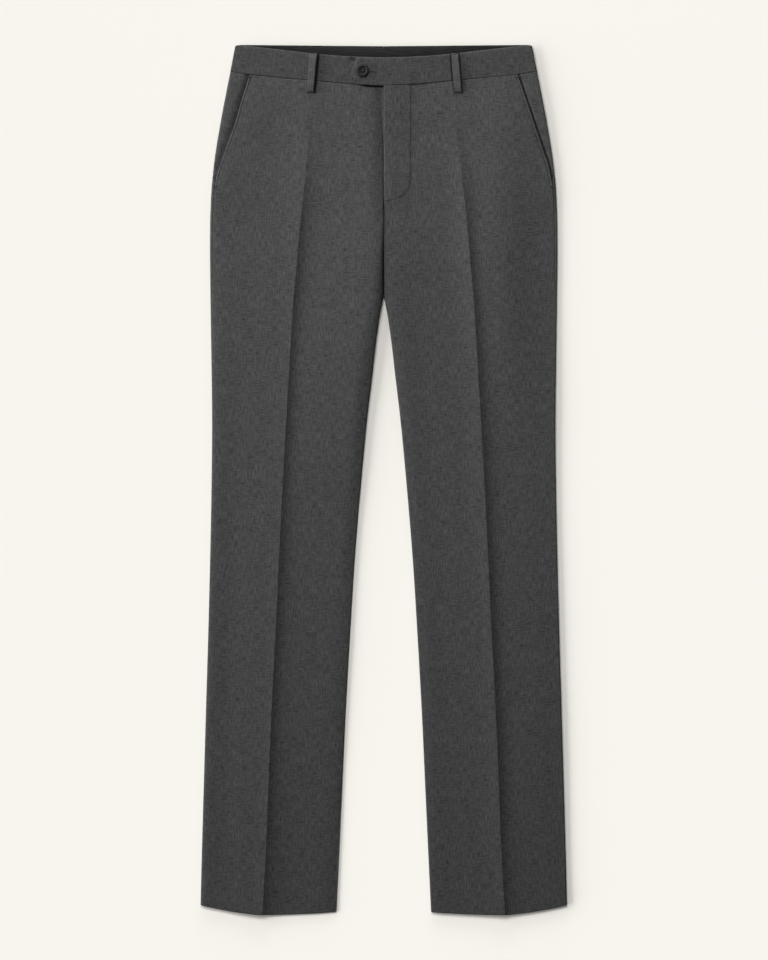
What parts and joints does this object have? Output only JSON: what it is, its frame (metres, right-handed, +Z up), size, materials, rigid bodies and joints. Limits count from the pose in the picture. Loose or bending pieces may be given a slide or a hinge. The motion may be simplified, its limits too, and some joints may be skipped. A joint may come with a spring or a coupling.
{
  "type": "flat-front dress trousers",
  "caption": "Flat-front dress trousers laid flat, with pressed creases, slant pockets, belt loops, fly and a buttoned waistband tab.",
  "frame": {"origin": "on the floor under the middle of the garment's box", "axes": "+Y from the hems to the waist, +X to the wearer's left, +Z up off the floor, out of the front of the garment"},
  "size_m": [0.476, 1.13, 0.0104],
  "materials": {
    "worsted": "charcoal heathered worsted wool, matt, pressed",
    "band_facing": "near-black twill facing, slight sheen",
    "zip_tape": "plain dark woven tape",
    "button": "black polished resin"
  },
  "bodies": {
    "root": {"front_left": "worsted", "front_right": "worsted", "back_left": "worsted", "back_right": "worsted", "pocket_facing_left": "worsted", "pocket_facing_right": "worsted", "waistband_left": "worsted", "waistband_right": "worsted", "band_facing_left": "band_facing", "band_facing_right": "band_facing", "belt_loop_front_left": "worsted", "belt_loop_front_right": "worsted", "belt_loop_back_left": "worsted", "belt_loop_back_centre": "worsted", "belt_loop_back_right": "worsted", "fly_underlap": "worsted", "fly_zip": "zip_tape", "waist_button": "button"}
  },
  "joints": []
}
